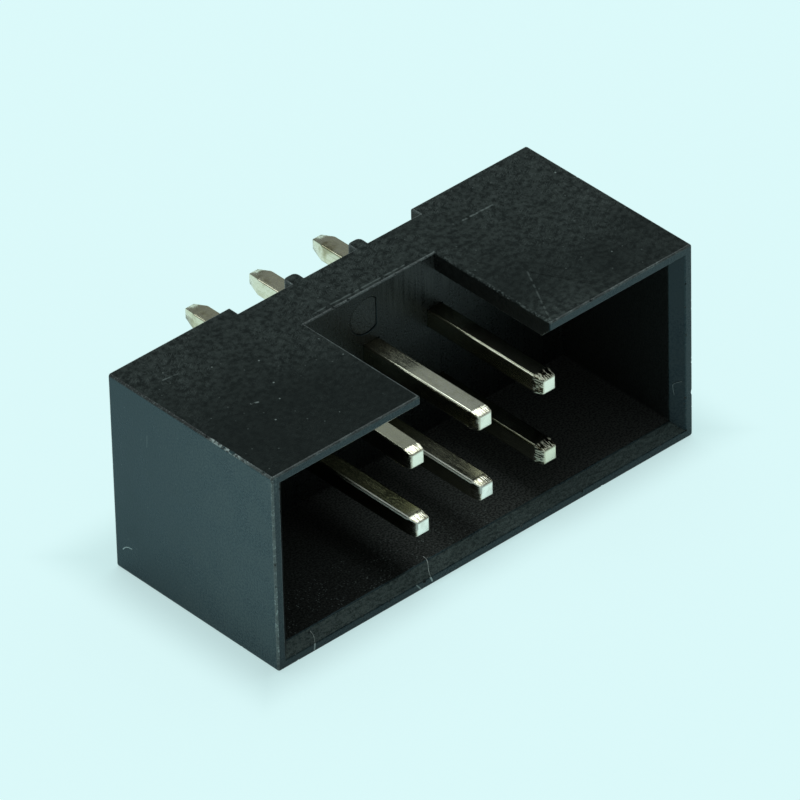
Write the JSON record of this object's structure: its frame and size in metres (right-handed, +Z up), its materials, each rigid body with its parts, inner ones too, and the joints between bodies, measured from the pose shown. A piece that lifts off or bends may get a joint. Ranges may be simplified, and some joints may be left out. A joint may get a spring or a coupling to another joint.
{
  "type": "idc box header",
  "caption": "Keyed shrouded board header for a flat ribbon cable socket, with two rows of straight solder contacts in a moulded box.",
  "frame": {"origin": "on the surface that the part lies on, below the middle of the whole part: half way along the rows and half way from the mouth's rim to the tails' ends", "axes": "+X along the rows towards contacts 1 and 2, -Y out of the mouth and +Y along the solder tails, +Z up from the plain long wall to the long wall with the key slot"},
  "size_m": [0.0132, 0.008, 0.0055],
  "materials": {
    "housing": "fine-grained matte black glass-filled polyester, smoother on the ends",
    "contacts": "matte tin over brass, drawn along the contact"
  },
  "bodies": {
    "root": {"housing": "housing", "pin_1": "contacts", "pin_2": "contacts", "pin_3": "contacts", "pin_4": "contacts", "pin_5": "contacts", "pin_6": "contacts"}
  },
  "joints": []
}
